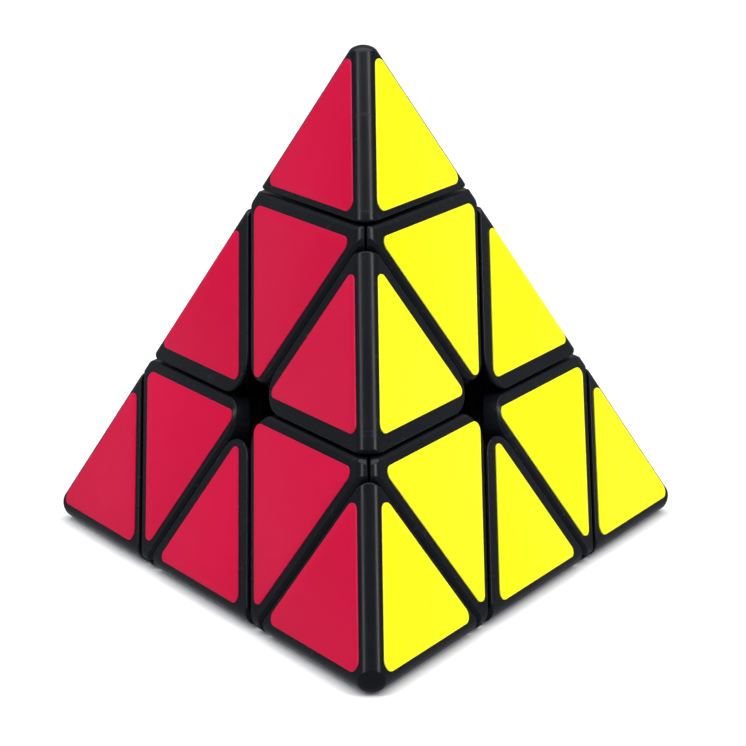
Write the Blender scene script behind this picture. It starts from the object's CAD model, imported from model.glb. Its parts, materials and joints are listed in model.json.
import itertools
import json
import math

import bmesh
import bpy
import numpy as np
from mathutils import Matrix, Vector
from mathutils.kdtree import KDTree


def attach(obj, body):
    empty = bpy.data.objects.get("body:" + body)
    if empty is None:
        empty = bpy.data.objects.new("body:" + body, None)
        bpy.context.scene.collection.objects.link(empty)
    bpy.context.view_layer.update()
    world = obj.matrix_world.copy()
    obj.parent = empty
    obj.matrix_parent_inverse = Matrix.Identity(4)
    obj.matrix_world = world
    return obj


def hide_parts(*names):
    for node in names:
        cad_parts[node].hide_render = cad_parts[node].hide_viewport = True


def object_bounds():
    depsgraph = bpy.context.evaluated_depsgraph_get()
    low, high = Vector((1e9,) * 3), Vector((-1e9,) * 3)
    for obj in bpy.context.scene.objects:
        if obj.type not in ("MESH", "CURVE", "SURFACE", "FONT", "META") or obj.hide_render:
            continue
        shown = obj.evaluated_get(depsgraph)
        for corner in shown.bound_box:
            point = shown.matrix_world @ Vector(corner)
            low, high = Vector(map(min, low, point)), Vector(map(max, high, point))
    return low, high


# Pyramid twisty puzzle. Lengths are in millimetres until a mesh is made, and metres after that.
MM = 0.001

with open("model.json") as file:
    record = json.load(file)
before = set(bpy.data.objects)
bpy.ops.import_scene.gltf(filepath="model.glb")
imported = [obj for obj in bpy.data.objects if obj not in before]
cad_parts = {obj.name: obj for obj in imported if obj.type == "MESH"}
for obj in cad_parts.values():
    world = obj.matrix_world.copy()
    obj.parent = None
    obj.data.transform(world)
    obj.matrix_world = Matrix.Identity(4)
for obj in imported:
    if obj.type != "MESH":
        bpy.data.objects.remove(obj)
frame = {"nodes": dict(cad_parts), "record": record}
cad_low, cad_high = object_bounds()

# ---- the puzzle's driving sizes, worked out from the frame ----

STEP = -cad_low[2] / MM / 3                 # a twelfth of the sharp tetrahedron's height
EDGE = 12 * STEP / math.sqrt(2 / 3)         # its sharp edge, along the sticker surfaces
THIRD = EDGE / 3                            # edge of the triangle that one sticker sits in
FACE_R = EDGE / math.sqrt(3)                # a face's centre to its corner
STICKER_T = 0.2
STICKER_LIFT = 0.014                        # plastic face to sticker's underside
STICKER_D = 3 * STEP - STICKER_T            # sticker's underside to core centre
FACE_D = STICKER_D - STICKER_LIFT           # plastic face to core centre
LAYER_D = STEP                              # layer cut to core centre
TIP_D = 5 * STEP                            # tip cut to core centre
HALF_GAP = 0.24                             # half the gap at a layer cut or tip cut
SEAM_HALF_GAP = 0.13                        # half the seam between two petals
RIDGE_R = 2.27                              # the long round ridges
DOME_R = 3.12                               # a tip's round end
DOME_DEPTH = 5.0                            # dome's top under the sharp plastic corner
DOME_Z = 9 * STEP - 3 * STICKER_T - DOME_DEPTH - DOME_R   # dome's centre, along the tip's axis
SOFT_R = 0.3                                # rounding of every moulded edge

# How far a bevel runs back on each side of its corner, before the corner is rounded.
PETAL_TIP_LEG = 0.45                        # petal's face and the tip's gap
PETAL_EDGE_LEG = 0.4                        # petal's face and an edge piece's gap
NUB_LEG = 0.12                              # a nub's round top and its gaps
NUB_END_LEG = 0.45                          # added to NUB_LEG at the middle of the nub's outer end
EDGE_END_LEG = 0.9                          # an edge piece's ridge, at the middle of each end
SEAM_LEG = 0.1                              # a nub's round top and the seam

# The hole at a face's centre is a six-pointed star, between corners rolled to these radii.
PETAL_STAR_R = 3.7
EDGE_STAR_R = 4.7

# How finely round stretches are cut up.
STAR_STEPS = 12
RIDGE_STEPS = 12
TIP_RIDGE_STEPS = 10
NUB_TURN = 0.6                              # share of a ridge's turn that a petal keeps, past the seam
DOME_RINGS = 5
DOME_RING_ANGLE = 13                        # degrees from one ring of the dome to the next
ROLL_STEPS = 4                              # along a rounded edge

# Stickers: distances from their triangle's sides, and corner radii.
TIP_RIDGE_INSET = 3.28
TIP_CUT_INSET = 1.43
AXIAL_TIP_INSET = 2.0
AXIAL_EDGE_INSET = 1.62
EDGE_RIDGE_INSET = 3.17
EDGE_CUT_INSET = 2.66
TIP_CORNER_R = 1.3
AXIAL_CORNER_R = 1.2
EDGE_CORNER_R = 1.0
STICKER_CORNER_STEPS = 12
STICKER_BEVEL = ((0.0, 0.6), (0.025, 0.9), (0.08, 1.0))   # inward step, share of the thickness
STICKER_SHARP_ANGLE = 35                    # degrees

# Springs, each along its turning axis.
SPRING_R = 2.75
WIRE_R = 0.35
SPRING_TURNS = 5.5
SPRING_LOW = 17.9                           # lowest and highest centre of the wire
SPRING_HIGH = 25.6

VERTICES = ("top", "front", "left", "right")
COLOURS = ("blue", "green", "yellow", "red")   # the face opposite to each vertex
TILT = math.acos(-1 / 3)                    # angle between two turning axes

# How near counts as the same.
PARALLEL = 1e-5                             # three planes whose determinant is under this don't meet
INSIDE = 1e-6                               # a corner may stand this far outside a plane
SAME_CORNER = 1e-5
ON_PLANE = 2e-5
WELD = 1e-4                                 # points of the CAD mesh this near become one
SAME_POINT = 0.002                          # a point that the cut moved by less keeps its normal
SMOOTH_COS = 0.8                            # and only if that normal is this near its face's
ALIGNED_COS = 0.97                          # a normal this near the true surface's is set to it
LEVEL_LEAST = 0.05                          # a normal with less than this in the face isn't on a side
RIDGE_SLACK = 0.06                          # a point this near the ridge's cylinder is on it
RIDGE_TILT = 0.03                           # and its normal leans no more than this along the ridge
DOME_SLACK = 0.04                           # a point this near the dome's ball is on it
DOME_START = 0.3                            # and this many radii or more above its centre


def axis_at(azimuth):
    a = math.radians(azimuth)
    return np.array([math.sin(TILT) * math.cos(a), math.sin(TILT) * math.sin(a), math.cos(TILT)])


AXES = [np.array([0.0, 0.0, 1.0]), axis_at(-90), axis_at(150), axis_at(30)]


def unit(v):
    v = np.asarray(v, float)
    return v / np.linalg.norm(v)


def frame_of(z, x):
    """Rotation whose +Z lies along z and whose +X is as near to x as it can be."""
    zz = unit(z)
    yy = unit(np.cross(zz, x))
    return np.column_stack([np.cross(yy, zz), yy, zz])


def corner_frame(i, k):
    """Frame of corner i's axis, with +X towards the face opposite to corner k."""
    return frame_of(AXES[i], -AXES[k])


def edge_frame(i, j):
    """Frame of the edge piece between corners i and j, with +X along its ridge."""
    return frame_of(AXES[i] + AXES[j], AXES[j] - AXES[i])


# ---- rounded solids from planes ----

def chamfer(first, second, leg):
    """Plane that takes this leg off each of two planes at their meeting line. A plane is (normal, d)."""
    (n1, d1), (n2, d2) = first, second
    both = n1 + n2
    size = np.linalg.norm(both)
    depth = leg * math.sqrt(max(0.0, (1 - float(n1 @ n2)) / 2))
    return both / size, (d1 + d2) / size - depth


def solid_corners(normals, dists):
    """Corners of the convex solid inside all the planes, each with the set of planes it lies on."""
    triples = np.array(list(itertools.combinations(range(len(dists)), 3)))
    a = normals[triples]
    good = np.abs(np.linalg.det(a)) > PARALLEL
    points = np.linalg.solve(a[good], dists[triples[good]][..., None])[..., 0]
    points = points[np.isfinite(points).all(1)]
    points = points[(points @ normals.T <= dists + INSIDE).all(1)]
    unique = []
    for p in points:
        if all(np.abs(p - q).max() > SAME_CORNER for q in unique):
            unique.append(p)
    unique = np.array(unique)
    on = [set(np.nonzero(np.abs(normals @ p - dists) < ON_PLANE)[0]) for p in unique]
    while True:
        count = {}
        for s in on:
            for f in s:
                count[f] = count.get(f, 0) + 1
        weak = {f for f, c in count.items() if c < 3}
        if not weak:
            return unique, on
        on = [s - weak for s in on]


def slerp(a, b, t):
    """Unit vector a share t of the way round from a to b."""
    w = math.acos(max(-1.0, min(1.0, float(a @ b))))
    return (math.sin((1 - t) * w) * a + math.sin(t * w) * b) / math.sin(w)


NO_NORMAL = [0.31, 0.52, 0.79]              # a direction that no plane faces


def rounded_solid(planes, radius, steps=ROLL_STEPS):
    """Convex solid inside the planes with every edge and corner rolled to this radius.
    Returns points, faces and the exact outward normal at each point."""
    normals = np.array([p[0] for p in planes])
    dists = np.array([p[1] for p in planes]) - radius
    corners, on = solid_corners(normals, dists)
    loops = {}
    for f in sorted(set().union(*on)):
        ids = [v for v, s in enumerate(on) if f in s]
        n = normals[f]
        x = unit(np.cross(n, NO_NORMAL))
        y = np.cross(n, x)
        mid = corners[ids].mean(0)
        ids.sort(key=lambda v: math.atan2((corners[v] - mid) @ y, (corners[v] - mid) @ x))
        loops[f] = ids
    points, outward, faces, at = [], [], [], {}

    def point(v, n, key):
        if key not in at:
            at[key] = len(points)
            points.append(corners[v] + radius * n)
            outward.append(n)
        return at[key]

    edge_face = {}
    for f, ids in loops.items():
        for v, w in zip(ids, ids[1:] + ids[:1]):
            edge_face[v, w] = f

    def arc(v, f, g):
        """Points round corner v from face f's normal to face g's."""
        low, high = min(f, g), max(f, g)
        ids = []
        for s in range(steps + 1):
            if s == 0:
                ids.append(point(v, normals[low], (v, low)))
            elif s == steps:
                ids.append(point(v, normals[high], (v, high)))
            else:
                ids.append(point(v, slerp(normals[low], normals[high], s / steps), (v, low, high, s)))
        return ids if f == low else ids[::-1]

    for f, ids in loops.items():
        faces.append([point(v, normals[f], (v, f)) for v in ids])
    for (v, w), f in edge_face.items():
        g = edge_face[w, v]
        if f < g:
            at_v, at_w = arc(v, f, g), arc(w, f, g)
            for s in range(steps):
                faces.append([at_v[s], at_v[s + 1], at_w[s + 1], at_w[s]])
    for v, s in enumerate(on):
        if not s:
            continue
        start = min(s)
        ring, f = [], start
        while True:
            ids = loops[f]
            before = ids[ids.index(v) - 1]
            g = edge_face[v, before]
            ring += arc(v, f, g)[:-1]
            f = g
            if f == start:
                break
        middle = point(v, unit(sum(normals[f] for f in s)), (v, "mid"))
        for a, b in zip(ring, ring[1:] + ring[:1]):
            faces.append([middle, a, b])
    return np.array(points), faces, np.array(outward)


# ---- the three kinds of outer piece, each in its own frame ----

F_Z = 1 / 3                                 # a face normal's parts along a corner's axis
F_X = math.sqrt(8) / 3                      # and across it
E_LONG = math.sqrt(2 / 3)                   # and across an edge piece's axis
E_SHORT = math.sqrt(1 / 3)                  # and along it
HALF_STAR_COS = 0.5                         # a petal's corner is rolled 60 degrees each way


def corner_face(azimuth):
    """Normal, in a corner's frame, of the face at this azimuth."""
    a = math.radians(azimuth)
    return np.array([F_X * math.cos(a), F_X * math.sin(a), F_Z])


def corner_axis(azimuth):
    """Turning axis, in a corner's frame, of the other corner at this azimuth."""
    a = math.radians(azimuth)
    return np.array([F_X * math.cos(a), F_X * math.sin(a), -F_Z])


def ridge_line(n1, n2):
    """Centre point and direction of the round ridge between two faces."""
    across = unit(n1 + n2)
    return across * (FACE_D - RIDGE_R) / float(across @ n1), unit(np.cross(n1, n2))


def ridge_planes(n1, n2, count, turn=1.0):
    """Planes touching the cylinder of the ridge from face normal n1 to n2, over this share of the turn."""
    centre, _ = ridge_line(n1, n2)
    planes = []
    for s in range(1, count):
        if s / count < turn:
            n = slerp(n1, n2, s / count)
            planes.append((n, float(n @ centre) + RIDGE_R))
    return planes


def petal_planes():
    """Planes of one petal of an axial piece, and its rolled corner as round_normals takes it."""
    face = (corner_face(0), FACE_D)
    tip_cut = (np.array([0.0, 0.0, 1.0]), TIP_D - HALF_GAP)
    floor_cut = (np.array([0.0, 0.0, -1.0]), -(LAYER_D + HALF_GAP))
    cuts = {s: (corner_axis(60 * s), LAYER_D - HALF_GAP) for s in (-1, 1)}
    seams = {s: (np.array([-math.sin(math.radians(60)), s * 0.5, 0.0]), -SEAM_HALF_GAP) for s in (-1, 1)}
    ridges = {s: ridge_planes(corner_face(0), corner_face(120 * s), RIDGE_STEPS, NUB_TURN) for s in (-1, 1)}
    planes = [face, tip_cut, floor_cut, *cuts.values(), *seams.values(), *ridges[-1], *ridges[1]]
    planes.append(chamfer(face, tip_cut, PETAL_TIP_LEG))
    for s in (-1, 1):
        planes.append(chamfer(face, cuts[s], PETAL_EDGE_LEG))
        for step, ridge in enumerate(ridges[s], 1):
            end_leg = NUB_LEG + NUB_END_LEG * math.sin(math.pi * step / RIDGE_STEPS)
            planes.append(chamfer(ridge, tip_cut, NUB_LEG))
            planes.append(chamfer(ridge, cuts[s], end_leg))
            planes.append(chamfer(ridge, seams[s], SEAM_LEG))
    # The corner at the face's centre is rolled about a line square to the face.
    normal = face[0]
    sides = {s: unit(cuts[s][0] - (cuts[s][0] @ normal) * normal) for s in (-1, 1)}
    rise = math.sqrt(1 - F_Z ** 2)
    reach = {s: (cuts[s][1] - FACE_D * F_Z) / rise for s in (-1, 1)}
    inward = unit(sides[-1] + sides[1])
    centre = normal * FACE_D + inward * (reach[1] - PETAL_STAR_R) / float(inward @ sides[1])
    for s in range(1, STAR_STEPS):
        out = slerp(sides[-1], sides[1], s / STAR_STEPS)
        n = F_Z * normal + rise * out
        side = (n, float(n @ (centre + PETAL_STAR_R * out)))
        planes += [side, chamfer(face, side, PETAL_EDGE_LEG)]
    return planes, (centre, normal, inward, HALF_STAR_COS)


def edge_planes():
    """Planes of one edge piece's cap, and its rolled corner as round_normals takes it."""
    faces = [(np.array([0.0, s * E_LONG, E_SHORT]), FACE_D) for s in (-1, 1)]
    cuts = [(-np.array([s * E_LONG, 0.0, E_SHORT]), -(LAYER_D + HALF_GAP)) for s in (-1, 1)]
    ridge = ridge_planes(faces[0][0], faces[1][0], RIDGE_STEPS)
    # The inner edge, which runs between the two faces' centres, is rolled.
    sides = []
    low = float(cuts[0][1]) / float(cuts[0][0][2])
    centre_z = low + EDGE_STAR_R / E_SHORT
    for s in range(1, STAR_STEPS):
        n = slerp(cuts[0][0], cuts[1][0], s / STAR_STEPS)
        sides.append((n, n[2] * centre_z + EDGE_STAR_R))
    planes = [*faces, *cuts, *ridge, *sides]
    for step, r in enumerate(ridge, 1):
        end_leg = EDGE_END_LEG * math.sin(math.pi * step / RIDGE_STEPS)
        planes += [chamfer(r, c, end_leg) for c in cuts]
    centre = np.array([0.0, 0.0, centre_z])
    return planes, (centre, np.array([0.0, 1.0, 0.0]), np.array([0.0, 0.0, -1.0]), E_SHORT)


def tip_planes():
    """Planes of one tip's cap, which has no rolled corner."""
    faces = [(corner_face(a), FACE_D) for a in (0, 120, 240)]
    cut = (np.array([0.0, 0.0, -1.0]), -(TIP_D + HALF_GAP))
    ridges = []
    for a in range(3):
        ridges += ridge_planes(faces[a][0], faces[(a + 1) % 3][0], TIP_RIDGE_STEPS)
    planes = [*faces, cut, *ridges]
    for ring in range(DOME_RINGS):
        polar = math.radians(DOME_RING_ANGLE * ring)
        count = max(1, 6 * ring)
        for s in range(count):
            turn = 2 * math.pi * s / count
            level = math.sin(polar)
            n = np.array([level * math.cos(turn), level * math.sin(turn), math.cos(polar)])
            planes.append((n, n[2] * DOME_Z + DOME_R))
    return planes, None


def round_normals(points, outward, ridges, star=None, dome=None):
    """Sets the normals on round ridges, rolled inner corners and domes to the true surface's.
    star is the corner's (centre, axis, middle direction, least cosine from that direction)."""
    outward = outward.copy()
    if star is not None:
        centre, along, middle, least = star
        arm = points - centre
        arm -= np.outer(arm @ along, along)
        arm /= np.maximum(np.linalg.norm(arm, axis=1), 1e-9)[:, None]
        rise = outward @ along
        level = outward - np.outer(rise, along)
        size = np.linalg.norm(level, axis=1)
        hit = (arm @ middle > least) & (size > LEVEL_LEAST)
        hit &= (level * arm).sum(1) > ALIGNED_COS * size
        outward[hit] = rise[hit, None] * along + size[hit, None] * arm[hit]
    for centre, along in ridges:
        arm = points - centre
        arm -= np.outer(arm @ along, along)
        size = np.linalg.norm(arm, axis=1)
        hit = (np.abs(size - RIDGE_R) < RIDGE_SLACK) & (np.abs(outward @ along) < RIDGE_TILT)
        outward[hit] = arm[hit] / size[hit, None]
    if dome is not None:
        arm = points - dome
        size = np.linalg.norm(arm, axis=1)
        hit = np.abs(size - DOME_R) < DOME_SLACK
        hit &= (arm / size[:, None] * outward).sum(1) > ALIGNED_COS
        hit &= points[:, 2] > dome[2] + DOME_START * DOME_R
        outward[hit] = arm[hit] / size[hit, None]
    return outward


def mesh_object(name, points, faces):
    mesh = bpy.data.meshes.new(name)
    mesh.from_pydata([tuple(p) for p in points], [], faces)
    mesh.validate()
    obj = bpy.data.objects.new(name, mesh)
    bpy.context.scene.collection.objects.link(obj)
    return obj


def cad_copy(node, turn):
    """The CAD node's mesh, welded, in millimetres, in the frame with this rotation."""
    source = frame["nodes"][node]
    bm = bmesh.new()
    bm.from_mesh(source.data)
    scale = Matrix.Scale(1 / MM, 4)
    bm.transform(Matrix(turn.T.tolist()).to_4x4() @ scale @ source.matrix_world)
    bmesh.ops.remove_doubles(bm, verts=bm.verts, dist=WELD)
    mesh = bpy.data.meshes.new("cad_copy")
    bm.to_mesh(mesh)
    bm.free()
    obj = bpy.data.objects.new("cad_copy", mesh)
    bpy.context.scene.collection.objects.link(obj)
    return obj


def rounded_piece(shape, ridges, node, turn, dome=None):
    """Mesh of one moulded piece in its own frame: the rounded outer skin with the CAD node's inside.
    Returns points, faces and one normal for each face corner."""
    planes, star = shape
    points, faces, outward = rounded_solid(planes, SOFT_R)
    outward = round_normals(points, outward, ridges, star, dome)
    skin = mesh_object("skin", points, faces)
    bm = bmesh.new()
    bm.from_mesh(skin.data)
    bmesh.ops.recalc_face_normals(bm, faces=bm.faces)
    bm.to_mesh(skin.data)
    bm.free()
    inside = cad_copy(node, turn)
    cut = skin.modifiers.new("inside", "BOOLEAN")
    cut.operation = "INTERSECT"
    cut.solver = "EXACT"
    cut.object = inside
    done = skin.evaluated_get(bpy.context.evaluated_depsgraph_get()).to_mesh()
    verts = np.array([v.co[:] for v in done.vertices])
    polys = [list(p.vertices) for p in done.polygons]
    flat = [np.array(p.normal[:]) for p in done.polygons]
    skin.to_mesh_clear()
    tree = KDTree(len(points))
    for v, p in enumerate(points):
        tree.insert(p, v)
    tree.balance()
    exact = []
    for p in verts:
        found = [outward[v] for _, v, off in tree.find_n(p, 2) if off < SAME_POINT]
        exact.append(found[0] if found else None)
    corner_normals = []
    for poly, n in zip(polys, flat):
        for v in poly:
            own = exact[v] is not None and exact[v] @ n > SMOOTH_COS
            corner_normals.append(exact[v] if own else n)
    for obj in (skin, inside):
        mesh = obj.data
        bpy.data.objects.remove(obj)
        bpy.data.meshes.remove(mesh)
    return verts, polys, np.array(corner_normals)


def place(name, shape, turn, body, node, material):
    """One moulded piece from its shape, turned into the puzzle's frame."""
    verts, polys, normals = shape
    obj = mesh_object(name, (verts @ turn.T) * MM, polys)
    obj.data.shade_smooth()
    obj.data.normals_split_custom_set([tuple(n) for n in normals @ turn.T])
    obj.data.materials.append(material)
    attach(obj, body)
    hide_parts(node)


# ---- stickers ----

def sticker_loop(v, way, base_inset, side_inset, corner_r, shrink=0.0):
    """Rounded triangle with its apex at height v over the face's centre, opening up (1) or down (-1)."""
    height = THIRD * math.sqrt(3) / 2 - base_inset - 2 * side_inset
    middle = v + way * (2 * side_inset + height * 2 / 3)
    reach = height * 2 / 3 - 2 * corner_r
    r = corner_r - shrink
    loop = []
    for corner in range(3):
        mid = math.radians(-90 * way + 120 * corner)
        across = reach * math.cos(mid)
        along = middle + reach * math.sin(mid)
        for s in range(STICKER_CORNER_STEPS + 1):
            a = mid + math.radians(120 * s / STICKER_CORNER_STEPS - 60)
            loop.append((across + r * math.cos(a), along + r * math.sin(a)))
    return loop


def sticker_shape(normal, up, outline):
    """Points and faces of one sticker on the face with this normal, and how many faces are its rim.
    outline is what sticker_loop takes."""
    side = np.cross(up, normal)
    section = [(0.0, FACE_D)]
    section += [(shrink, STICKER_D + share * STICKER_T) for shrink, share in STICKER_BEVEL]
    rings = []
    for shrink, high in section:
        loop = sticker_loop(*outline, shrink=shrink)
        rings.append([normal * high + side * h + up * v for h, v in loop])
    n = len(rings[0])
    points = [p for ring in rings for p in ring]
    faces = []
    top = len(rings) - 1
    for level in range(top):
        for s in range(n):
            t = (s + 1) % n
            faces.append([level * n + s, level * n + t, (level + 1) * n + t, (level + 1) * n + s])
    rim = len(faces)
    faces.append([top * n + s for s in range(n)])
    faces.append([s for s in reversed(range(n))])
    return np.array(points), faces, rim


UP_CORNER = np.array([-F_Z, 0.0, F_X])
TIP_STICKER = sticker_shape(
    corner_face(0), UP_CORNER, (FACE_R, -1, TIP_CUT_INSET, TIP_RIDGE_INSET, TIP_CORNER_R)
)
AXIAL_STICKER = sticker_shape(
    corner_face(0), UP_CORNER, (0.0, 1, AXIAL_TIP_INSET, AXIAL_EDGE_INSET, AXIAL_CORNER_R)
)
EDGE_STICKERS = {
    s: sticker_shape(
        np.array([0.0, s * E_LONG, E_SHORT]),
        np.array([0.0, -s * E_SHORT, E_LONG]),
        (0.0, 1, EDGE_RIDGE_INSET, EDGE_CUT_INSET, EDGE_CORNER_R),
    )
    for s in (-1, 1)
}


def place_stickers(name, parts, body, node, materials):
    """One piece from several stickers of a colour. parts are (shape, rotation) pairs."""
    points, faces, rims = [], [], []
    for (verts, polys, rim), turn in parts:
        start = len(points)
        points += list((verts @ turn.T) * MM)
        faces += [[start + v for v in poly] for poly in polys]
        rims += [1] * rim + [0] * (len(polys) - rim)
    obj = mesh_object(name, points, faces)
    for material in materials:
        obj.data.materials.append(material)
    for poly, rim in zip(obj.data.polygons, rims):
        poly.material_index = rim
    bm = bmesh.new()
    bm.from_mesh(obj.data)
    bmesh.ops.recalc_face_normals(bm, faces=bm.faces)
    bm.to_mesh(obj.data)
    bm.free()
    obj.data.shade_smooth()
    obj.data.set_sharp_from_angle(angle=math.radians(STICKER_SHARP_ANGLE))
    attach(obj, body)
    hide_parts(node)


# ---- materials ----

def linear(r, g, b):
    """Linear colour from 0 to 255 display values."""
    def one(c):
        c /= 255
        return c / 12.92 if c <= 0.04045 else ((c + 0.055) / 1.055) ** 2.4
    return (one(r), one(g), one(b), 1.0)


class Nodes:
    """Short calls for building one material's node tree. Textures are laid out in metres."""

    def __init__(self, name):
        self.material = bpy.data.materials.new(name)
        self.material.use_nodes = True
        self.tree = self.material.node_tree
        self.shader = self.tree.nodes["Principled BSDF"]
        self.where = self.add("ShaderNodeTexCoord").outputs["Object"]

    def add(self, kind, **settings):
        node = self.tree.nodes.new(kind)
        for key, value in settings.items():
            setattr(node, key, value)
        return node

    def link(self, a, b):
        self.tree.links.new(a, b)

    def noise(self, scale, detail=3.0, roughness=0.5, stretch=None):
        """Noise with this many cells to a metre."""
        node = self.add("ShaderNodeTexNoise")
        node.inputs["Scale"].default_value = scale
        node.inputs["Detail"].default_value = detail
        node.inputs["Roughness"].default_value = roughness
        where = self.where
        if stretch:
            mapping = self.add("ShaderNodeMapping")
            mapping.inputs["Scale"].default_value = stretch[0]
            mapping.inputs["Rotation"].default_value = stretch[1]
            self.link(where, mapping.inputs["Vector"])
            where = mapping.outputs["Vector"]
        self.link(where, node.inputs["Vector"])
        return node.outputs["Fac"]

    def spread(self, value, low, high, to_low, to_high):
        """Maps a value from one range to another, clamped."""
        node = self.add("ShaderNodeMapRange", clamp=True)
        self.link(value, node.inputs["Value"])
        for key, number in zip(("From Min", "From Max", "To Min", "To Max"), (low, high, to_low, to_high)):
            node.inputs[key].default_value = number
        return node.outputs["Result"]

    def mix(self, factor, first, second):
        """Mixes two colours; each is an output or a colour."""
        node = self.add("ShaderNodeMix", data_type="RGBA")
        self.link(factor, node.inputs["Factor"])
        for socket, value in ((node.inputs[6], first), (node.inputs[7], second)):
            if isinstance(value, tuple):
                socket.default_value = value
            else:
                self.link(value, socket)
        return node.outputs[2]

    def math(self, operation, a, b):
        """Each of a and b is an output or a number."""
        node = self.add("ShaderNodeMath", operation=operation)
        for socket, value in zip(node.inputs, (a, b)):
            if isinstance(value, (int, float)):
                socket.default_value = value
            else:
                self.link(value, socket)
        return node.outputs[0]

    def bump(self, height, strength, distance):
        """Bumps the shader's normal; distance is in metres."""
        node = self.add("ShaderNodeBump")
        node.inputs["Strength"].default_value = strength
        node.inputs["Distance"].default_value = distance
        self.link(height, node.inputs["Height"])
        self.link(node.outputs["Normal"], self.shader.inputs["Normal"])

    def set(self, **values):
        """Sets or links the shader's inputs, named with _ for a space."""
        for key, value in values.items():
            socket = self.shader.inputs[key.replace("_", " ")]
            if hasattr(value, "links"):
                self.link(value, socket)
            else:
                socket.default_value = value


def moulded_plastic(name, dark, light, rough, grain=0.35, gloss=0.13):
    """Moulded plastic with a faint texture from the tool, smudges from handling and a few fine scratches."""
    m = Nodes(name)
    cloud = m.noise(55, 4, 0.55)
    smudge = m.noise(140, 5, 0.6)
    scratch = m.noise(900, 2, 0.4, stretch=((0.05, 1, 1), (0.4, 0.9, 0.2)))
    line = m.spread(scratch, 0.66, 0.72, 0, 1)
    colour = m.mix(m.spread(cloud, 0.3, 0.7, 0, 1), dark, light)
    scuffed = tuple(min(1.0, c * 1.8 + 0.01) for c in light[:3]) + (1.0,)
    colour = m.mix(m.math("MULTIPLY", line, 0.25), colour, scuffed)
    handled = m.spread(smudge, 0.3, 0.75, rough - 0.05, rough + 0.07)
    roughness = m.math("ADD", handled, m.math("MULTIPLY", line, 0.08))
    fine = m.math("MULTIPLY", m.noise(5200, 2, 0.5), grain)
    height = m.math("ADD", fine, m.math("MULTIPLY", cloud, 2.2))
    m.bump(height, 0.4, 0.000012)
    m.set(Base_Color=colour, Roughness=roughness, IOR=1.5, Specular_IOR_Level=gloss)
    return m.material


def vinyl(name, body, light):
    """Cast vinyl film: even colour with a faint drift, a light orange peel and a few specks of dust."""
    m = Nodes(name)
    drift = m.spread(m.noise(28, 3, 0.5), 0.3, 0.7, 0, 1)
    colour = m.mix(drift, body, light)
    speck = m.add("ShaderNodeTexVoronoi")
    speck.inputs["Scale"].default_value = 260
    speck.inputs["Randomness"].default_value = 1.0
    m.link(m.where, speck.inputs["Vector"])
    dots = m.spread(speck.outputs["Distance"], 0.0, 0.05, 0.3, 0)
    patches = m.spread(m.noise(90, 2), 0.6, 0.7, 0, 1)
    dust = m.math("MULTIPLY", dots, patches)
    pale = tuple(0.6 * c + 0.4 for c in light[:3]) + (1.0,)
    colour = m.mix(dust, colour, pale)
    rub = m.noise(170, 4, 0.6)
    peel = m.math("ADD", m.noise(2600, 2, 0.5), m.math("MULTIPLY", m.noise(420, 2, 0.5), 1.5))
    m.bump(peel, 0.35, 0.000012)
    roughness = m.spread(rub, 0.3, 0.7, 0.38, 0.48)
    m.set(Base_Color=colour, Roughness=roughness, IOR=1.46, Specular_IOR_Level=0.05)
    return m.material


def vinyl_rim(name, colour, light):
    """The film's cut edge."""
    m = Nodes(name)
    cut = m.mix(m.spread(m.noise(900, 2), 0.3, 0.7, 0, 1), colour, light)
    m.set(Base_Color=cut, Roughness=0.55, Specular_IOR_Level=0.12)
    return m.material


def steel(name, bright, dark, rough):
    """Zinc-plated steel with drawing marks."""
    m = Nodes(name)
    streak = m.noise(2400, 3, 0.6, stretch=((1, 1, 0.06), (0, 0, 0)))
    cloud = m.noise(600, 3, 0.5)
    colour = m.mix(m.spread(cloud, 0.3, 0.7, 0, 1), bright, dark)
    m.bump(streak, 0.4, 0.00001)
    roughness = m.spread(streak, 0.3, 0.7, rough - 0.06, rough + 0.08)
    m.set(Base_Color=colour, Metallic=1.0, Roughness=roughness)
    return m.material


BLACK = moulded_plastic("black_plastic", linear(15, 16, 20), linear(20, 21, 26), 0.23)
INNER = moulded_plastic("inner_plastic", linear(30, 31, 35), linear(37, 38, 43), 0.42, 0.6)
CORE = moulded_plastic("core_plastic", linear(24, 25, 28), linear(30, 31, 35), 0.45, 0.5)
STEEL = steel("steel", linear(196, 199, 204), linear(168, 172, 178), 0.3)
SPRING_STEEL = steel("spring_steel", linear(150, 152, 156), linear(122, 124, 130), 0.34)
VINYL = {
    "red": (vinyl("red_vinyl", linear(188, 15, 56), linear(194, 21, 62)),
            vinyl_rim("red_vinyl_rim", linear(184, 18, 60), linear(194, 30, 72))),
    "yellow": (vinyl("yellow_vinyl", linear(250, 250, 20), linear(252, 252, 32)),
               vinyl_rim("yellow_vinyl_rim", linear(244, 244, 40), linear(248, 248, 70))),
    "green": (vinyl("green_vinyl", linear(14, 158, 66), linear(24, 168, 76)),
              vinyl_rim("green_vinyl_rim", linear(20, 160, 70), linear(36, 172, 86))),
    "blue": (vinyl("blue_vinyl", linear(20, 84, 200), linear(28, 96, 210)),
             vinyl_rim("blue_vinyl_rim", linear(26, 90, 204), linear(44, 108, 216))),
}

# ---- the object ----

body_of_node = {n: b for b, names in frame["record"]["behaviour"]["bodies"].items() for n in names}

PETAL = rounded_piece(
    petal_planes(),
    [ridge_line(corner_face(0), corner_face(120)), ridge_line(corner_face(0), corner_face(-120))],
    "axial_petal_top_red", corner_frame(0, 3),
)
EDGE_CAP = rounded_piece(
    edge_planes(),
    [ridge_line(np.array([0.0, -E_LONG, E_SHORT]), np.array([0.0, E_LONG, E_SHORT]))],
    "edge_cap_top_front", edge_frame(0, 1),
)
TIP_CAP = rounded_piece(
    tip_planes(),
    [ridge_line(corner_face(a), corner_face(a + 120)) for a in (0, 120, 240)],
    "tip_cap_top", corner_frame(0, 1),
    dome=np.array([0.0, 0.0, DOME_Z]),
)

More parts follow.
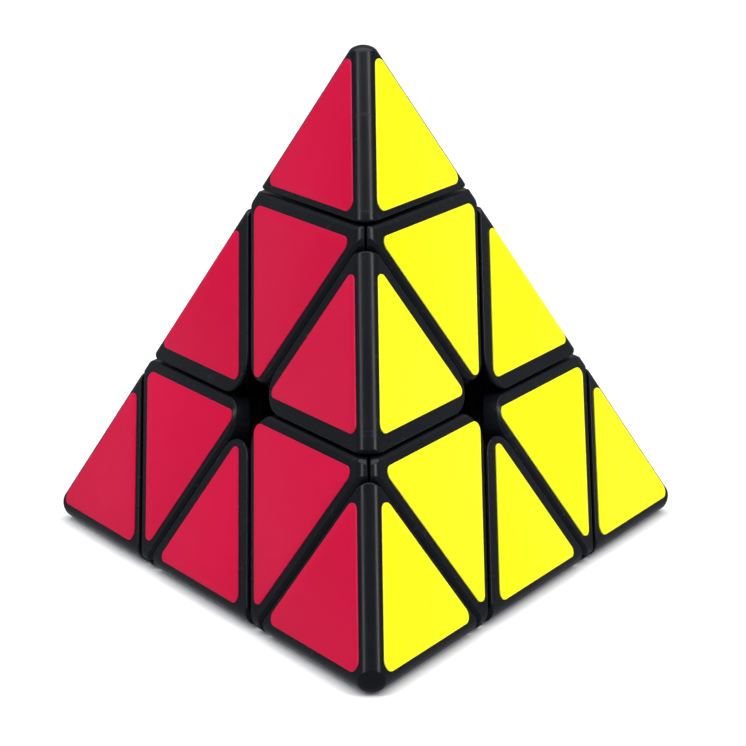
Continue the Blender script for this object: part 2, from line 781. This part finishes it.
for i, k in itertools.permutations(range(4), 2):
    place_name = f"{VERTICES[i]}_{COLOURS[k]}"
    node = f"axial_petal_{place_name}"
    place(f"petal_{place_name}", PETAL, corner_frame(i, k), body_of_node[node], node, BLACK)
    node = f"tip_sticker_{place_name}"
    colour = COLOURS[k]
    place_stickers(f"tip_label_{place_name}", [(TIP_STICKER, corner_frame(i, k))], body_of_node[node], node,
                   VINYL[colour])

for i in range(4):
    node = f"tip_cap_{VERTICES[i]}"
    turn = corner_frame(i, (i + 1) % 4)
    place(f"tip_{VERTICES[i]}", TIP_CAP, turn, body_of_node[node], node, BLACK)

for i, j in itertools.combinations(range(4), 2):
    place_name = f"{VERTICES[i]}_{VERTICES[j]}"
    node = f"edge_cap_{place_name}"
    place(f"edge_{place_name}", EDGE_CAP, edge_frame(i, j), body_of_node[node], node, BLACK)

# A face's stickers in the top layer make one piece and those below it another. Face 0 is the base.
for k, upper in itertools.product(range(4), (True, False)):
    if k == 0 and upper:
        continue
    corners = [v for v in range(4) if v != k]
    parts = [(AXIAL_STICKER, corner_frame(i, k)) for i in corners if (i == 0) == upper]
    for i, j in itertools.combinations(corners, 2):
        if (i == 0) == upper:
            turn = edge_frame(i, j)
            side = 1 if float(turn[:, 1] @ AXES[k]) < 0 else -1
            parts.append((EDGE_STICKERS[side], turn))
    layer = "upper" if upper else "lower"
    colour = COLOURS[k]
    node = f"{layer}_stickers_{colour}"
    place_stickers(f"{layer}_labels_{colour}", parts, body_of_node[node], node,
                   VINYL[colour])


def spring_coil(rounds=36, sides=12):
    """Points and faces of one coil of round wire about +Z."""
    rings = int(SPRING_TURNS * rounds)
    climb = (SPRING_HIGH - SPRING_LOW) / SPRING_TURNS / (2 * math.pi)
    points, faces = [], []
    for s in range(rings + 1):
        a = 2 * math.pi * s / rounds
        out = np.array([math.cos(a), math.sin(a), 0.0])
        along = unit([-SPRING_R * math.sin(a), SPRING_R * math.cos(a), climb])
        up = np.cross(along, out)
        middle = SPRING_R * out + np.array([0.0, 0.0, SPRING_LOW + climb * a])
        for t in range(sides):
            b = 2 * math.pi * t / sides
            points.append(middle + WIRE_R * (math.cos(b) * out + math.sin(b) * up))
    for s in range(rings):
        for t in range(sides):
            u = (t + 1) % sides
            faces.append([s * sides + t, s * sides + u, (s + 1) * sides + u, (s + 1) * sides + t])
    faces.append([t for t in reversed(range(sides))])
    faces.append([rings * sides + t for t in range(sides)])
    return points, faces


def place_springs():
    """The four tension springs, as one piece."""
    coil, sides = spring_coil()
    points, faces = [], []
    for i in range(4):
        start = len(points)
        turn = corner_frame(i, (i + 1) % 4)
        points += [(turn @ p) * MM for p in coil]
        faces += [[start + v for v in face] for face in sides]
    obj = mesh_object("springs", points, faces)
    obj.data.shade_smooth()
    obj.data.materials.append(SPRING_STEEL)
    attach(obj, body_of_node["tension_springs"])
    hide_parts("tension_springs")


place_springs()

# CAD nodes that stay take their finish.
FINISH = {"core": CORE, "tension_screws": STEEL, "screw_washers": STEEL}
for name, obj in frame["nodes"].items():
    finish = FINISH.get(name)
    if name.startswith(("axial_hub", "edge_foot", "tip_base")):
        finish = INNER
    if finish:
        obj.data.materials.clear()
        obj.data.materials.append(finish)

# ---- floor, light and camera ----

# The backdrop, in metres.
FLOOR_Z = cad_low[2] - 0.00003              # just clear of the stickers that the puzzle rests on
FLOOR_FRONT = -3.0
BEND_START = 1.2
BEND_R = 0.9
BEND_STEPS = 12
WALL_TOP = 3.2
FLOOR_HALF_WIDTH = 3.5


def backdrop():
    """A pale floor that curves up into a wall behind the puzzle."""
    profile = [(FLOOR_FRONT, 0.0), (BEND_START, 0.0)]
    for s in range(1, BEND_STEPS + 1):
        a = math.radians(90 * s / BEND_STEPS)
        profile.append((BEND_START + BEND_R * math.sin(a), BEND_R * (1 - math.cos(a))))
    profile.append((BEND_START + BEND_R, WALL_TOP))
    points = []
    for x in (-FLOOR_HALF_WIDTH, FLOOR_HALF_WIDTH):
        points += [(x, y, z) for y, z in profile]
    n = len(profile)
    faces = [[s, s + 1, n + s + 1, n + s] for s in range(n - 1)]
    obj = mesh_object("floor", points, faces)
    obj.location.z = FLOOR_Z
    obj.data.shade_smooth()
    m = Nodes("floor_paper")
    grain = m.noise(900, 3, 0.5)
    m.bump(grain, 0.15, 0.0001)
    paper = m.mix(m.spread(grain, 0.3, 0.7, 0, 1), (0.92, 0.92, 0.92, 1), (0.94, 0.94, 0.94, 1))
    m.set(Base_Color=paper, Roughness=0.9)
    obj.data.materials.append(m.material)
    obj.visible_glossy = False              # or it shows as a pale band on the lowest ridges


def softbox(name, place_at, aim, size, power, colour=(1, 1, 1)):
    """A rectangular light. Places and sizes are in metres, power in watts."""
    light = bpy.data.lights.new(name, "AREA")
    light.shape = "RECTANGLE"
    light.size, light.size_y = size
    light.energy = power
    light.color = colour
    obj = bpy.data.objects.new(name, light)
    obj.location = place_at
    obj.rotation_euler = (Vector(aim) - Vector(place_at)).to_track_quat("-Z", "Y").to_euler()
    bpy.context.scene.collection.objects.link(obj)


backdrop()
# The side boxes are the two highlights on the front ridge, so they stand where it reflects them.
softbox("left_box", (-0.81, -0.4, 0.79), (0, 0, 0.02), (0.22, 0.9), 5.2, (0.97, 0.98, 1.0))
softbox("right_box", (0.81, -0.4, 0.79), (0, 0, 0.02), (0.22, 0.9), 7.2, (1.0, 0.99, 0.97))
softbox("top_box", (0, 0.1, 1.3), (0, 0, 0), (1.6, 1.6), 22)

scene = bpy.context.scene
scene.world = bpy.data.worlds.new("studio")
scene.world.use_nodes = True
sky = scene.world.node_tree.nodes["Background"]
sky.inputs["Color"].default_value = (0.9, 0.93, 1.0, 1)
sky.inputs["Strength"].default_value = 0.29
scene.view_settings.view_transform = "Standard"

# The camera's angles are in radians. Its distance and aim are in units of the sharp edge, the aim
# measured from the middle of the resting face.
CAMERA_AZIMUTH = -0.00941381                # from straight in front, to the right
CAMERA_HEIGHT = 0.26167752                  # over the horizontal
CAMERA_ROLL = -0.00840554
CAMERA_DISTANCE = 4.39142
CAMERA_AIM = (0.01005, 0.0, 0.29172)
LENS = 148.4
SENSOR = 36


def add_camera():
    """The camera, fitted to the photograph's view."""
    size = EDGE * MM
    aim = Vector((CAMERA_AIM[0] * size, CAMERA_AIM[1] * size, CAMERA_AIM[2] * size + cad_low[2]))
    back = Vector((
        math.sin(CAMERA_AZIMUTH) * math.cos(CAMERA_HEIGHT),
        -math.cos(CAMERA_AZIMUTH) * math.cos(CAMERA_HEIGHT),
        math.sin(CAMERA_HEIGHT),
    ))
    level = (-back).cross(Vector((0, 0, 1))).normalized()
    plumb = level.cross(-back)              # the picture's right and up before the roll
    right = math.cos(CAMERA_ROLL) * level + math.sin(CAMERA_ROLL) * plumb
    up = -math.sin(CAMERA_ROLL) * level + math.cos(CAMERA_ROLL) * plumb
    data = bpy.data.cameras.new("camera")
    data.lens = LENS
    data.sensor_width = SENSOR
    data.clip_start = 0.01
    camera = bpy.data.objects.new("camera", data)
    place_at = aim + back * CAMERA_DISTANCE * size
    camera.matrix_world = Matrix((
        (right.x, up.x, back.x, place_at.x),
        (right.y, up.y, back.y, place_at.y),
        (right.z, up.z, back.z, place_at.z),
        (0, 0, 0, 1),
    ))
    scene.collection.objects.link(camera)
    scene.camera = camera


add_camera()
